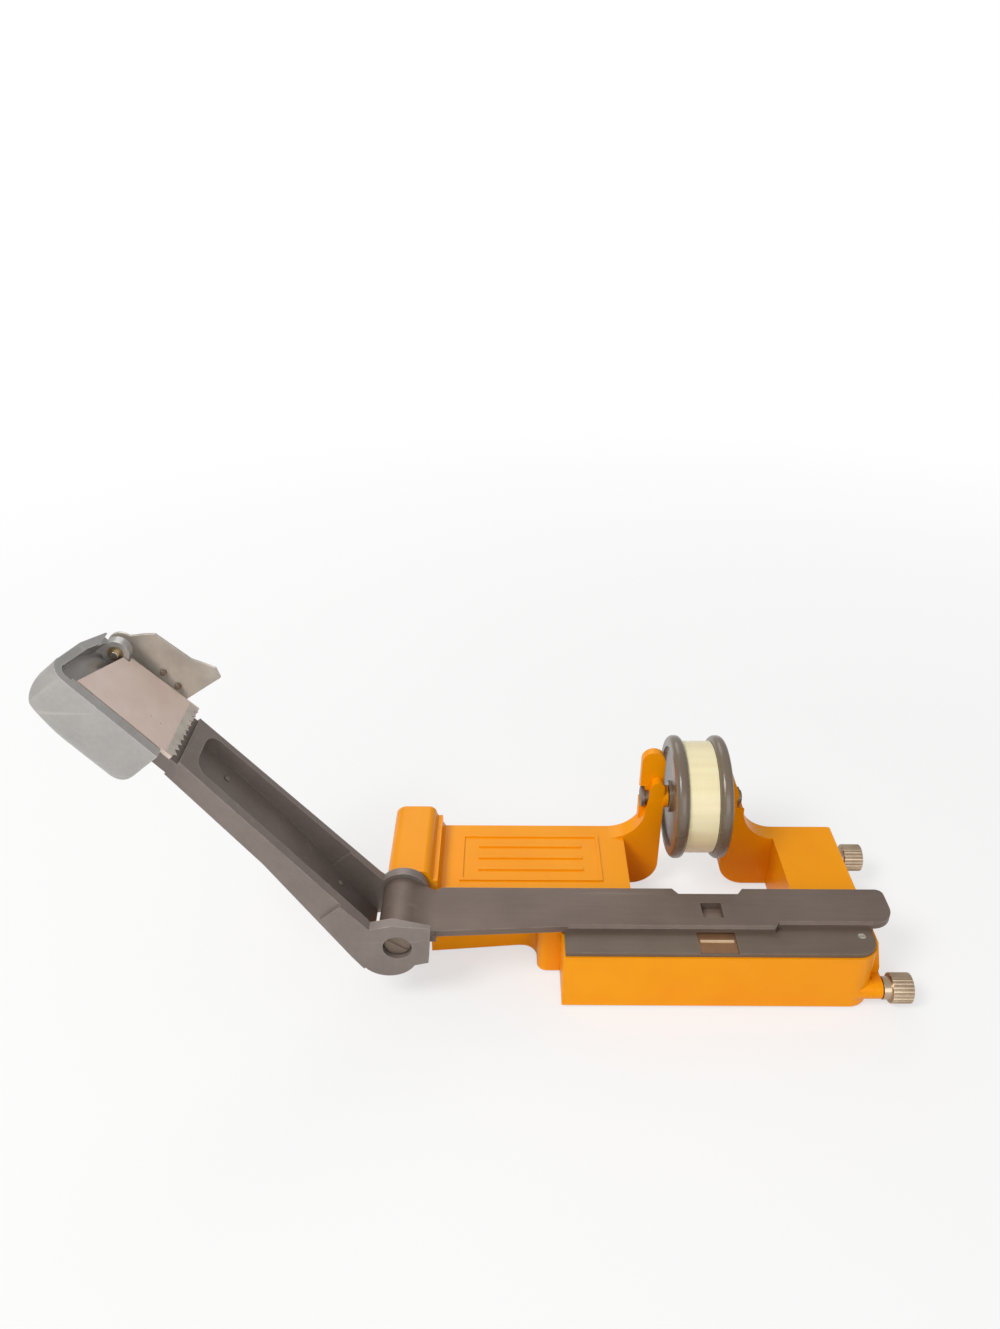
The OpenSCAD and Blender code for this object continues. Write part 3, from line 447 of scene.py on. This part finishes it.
def onArm(u, y, h):
    # along the arm from the hinge, across it, and out from it, in millimetres
    return hingeAt + mm * Vector((u * math.cos(armOpen) - h * math.sin(armOpen), y,
                                  u * math.sin(armOpen) + h * math.cos(armOpen)))


def onTable(x, y, z):
    return mm * Vector((x, y, z))


def joinRings(work, rings):
    for lower, upper in zip(rings, rings[1:]):
        for k in range(len(lower)):
            n = (k + 1) % len(lower)
            work.faces.new([lower[k], lower[n], upper[n], upper[k]])


def slab(name, outline, low, high, place, spec, finish, body):
    # a flat piece with this outline between two heights
    work = bmesh.new()
    rings = [[work.verts.new(place(a, b, h)) for a, b in outline] for h in (low, high)]
    work.faces.new(list(reversed(rings[0])))
    work.faces.new(rings[1])
    joinRings(work, rings)
    easedObject(name, meshFrom(work, name), spec, finish, body)


def domedHead(name, centre, spec, place, finish, body):
    # a round head turned from a domed profile, sunk a little into its seat
    work = bmesh.new()
    turns = [2 * math.pi * k / spec["sides"] for k in range(spec["sides"])]
    rings = [[work.verts.new(place(centre[0] + spec["radius"] * out * math.cos(turn),
                                   centre[1] + spec["radius"] * out * math.sin(turn),
                                   centre[2] - spec["height"] * up)) for turn in turns]
             for out, up in spec["profile"]]
    joinRings(work, rings)
    work.faces.new(rings[0])
    work.faces.new(rings[-1])
    obj = linked(name, meshFrom(work, name))
    dress(obj, finish)
    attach(obj, body)


# saw teeth along the plate's edge, measured on the arm
toothSpec = {"inner": 118.6, "outer": 116.2, "depth": 1.9, "front": -13.4, "back": 17.6, "teeth": 10,
             "rise": 0.15, "tip": 0.55, "seat": 1.95, "proud": 0.3, "width": 0.06, "steps": 1}
stride = (toothSpec["back"] - toothSpec["front"]) / toothSpec["teeth"]
saw = [(toothSpec["inner"], toothSpec["back"]), (toothSpec["inner"], toothSpec["front"])]
for k in range(toothSpec["teeth"]):
    start = toothSpec["front"] + k * stride
    saw += [(toothSpec["outer"], start + toothSpec["rise"] * stride),
            (toothSpec["outer"] - toothSpec["depth"], start + toothSpec["tip"] * stride)]
saw.append((toothSpec["outer"], toothSpec["back"]))
slab("plate_teeth", saw, toothSpec["seat"] - toothSpec["proud"], toothSpec["seat"], onArm, toothSpec,
     "brightSteel", "splice")

# round rivet heads on the floor of the arm's channel
rivetSpec = {"radius": 1.3, "height": 0.8, "sides": 20,
             "profile": [(1.0, -0.3), (1.0, 0.25), (0.93, 0.55), (0.72, 0.83), (0.40, 0.97),
                         (0.05, 1.0)],
             "places": {"arm_rivet_outer": (90.1, 4.6, 7.83), "arm_rivet_inner": (24.0, 5.5, 12.5)}}
for name, centre in rivetSpec["places"].items():
    domedHead(name, centre, rivetSpec, onArm, "armGrey", "splice")

# brown floor of the slot round the serrated bar
inlaySpec = {"side": 0.95, "front": 5.2, "rear": 4.3, "thick": 0.12, "width": 0.05, "steps": 1}
barLow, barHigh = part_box("tape_bar")
left = barLow[0] / mm - inlaySpec["side"]
right = barHigh[0] / mm + inlaySpec["side"]
front = barLow[1] / mm - inlaySpec["front"]
rear = barHigh[1] / mm + inlaySpec["rear"]
seat = barLow[2] / mm
slab("tape_bar_inlay", [(left, front), (right, front), (right, rear), (left, rear)], seat,
     seat + inlaySpec["thick"], onTable, inlaySpec, "slotBrown", "base")
print("small pieces added")


# floor and room
def backdropShare(f, gloss):
    # how much of the plain white a ray sees, by its kind
    camera = f.node("ShaderNodeLightPath", out="Is Camera Ray")
    clear = f.node("ShaderNodeLightPath", out="Is Transmission Ray")
    shiny = f.node("ShaderNodeLightPath", out="Is Glossy Ray")
    return (camera + clear + shiny * gloss).clamp()


def addFloor(spec):
    mesh = bpy.data.meshes.new("floor")
    grid = bmesh.new()
    bmesh.ops.create_grid(grid, x_segments=2, y_segments=2, size=spec["floorSize"] / 2)
    grid.to_mesh(mesh)
    grid.free()
    obj = bpy.data.objects.new("floor", mesh)
    bpy.context.scene.collection.objects.link(obj)
    f = Finish("paleFloor")
    tone = spec["floorTone"]
    flat = f.node("ShaderNodeBsdfDiffuse", {}, {"Color": (tone, tone, tone)})
    glow = f.node("ShaderNodeEmission", {}, {"Color": (1, 1, 1), "Strength": 1.0})
    where = f.node("ShaderNodeTexCoord", out="Object")
    away = f.node("ShaderNodeVectorMath", {"operation": "LENGTH"}, [where], out="Value")
    lift = f.ramp(away, spec["fadeFrom"], spec["fadeTo"]) * (1 - spec["floorLift"]) + spec["floorLift"]
    both = f.node("ShaderNodeMixShader", {}, [backdropShare(f, spec["gloss"]) * lift, flat, glow])
    f.links.new(both.out, f.end.inputs["Surface"])
    obj.data.materials.append(f.material)


def addRoom(spec):
    world = bpy.data.worlds.new("room")
    bpy.context.scene.world = world
    world.use_nodes = True
    f = Finish.over(world.node_tree, "ShaderNodeOutputWorld")
    dim = f.node("ShaderNodeBackground", {}, {"Color": (0.99, 0.99, 1.0), "Strength": spec["ambient"]})
    white = f.node("ShaderNodeBackground", {}, {"Color": (1, 1, 1), "Strength": spec["backdrop"]})
    both = f.node("ShaderNodeMixShader", {}, [backdropShare(f, spec["gloss"]), dim, white])
    f.links.new(both.out, f.end.inputs["Surface"])


addFloor(roomSpec)
addRoom(roomSpec)
print("stage set")
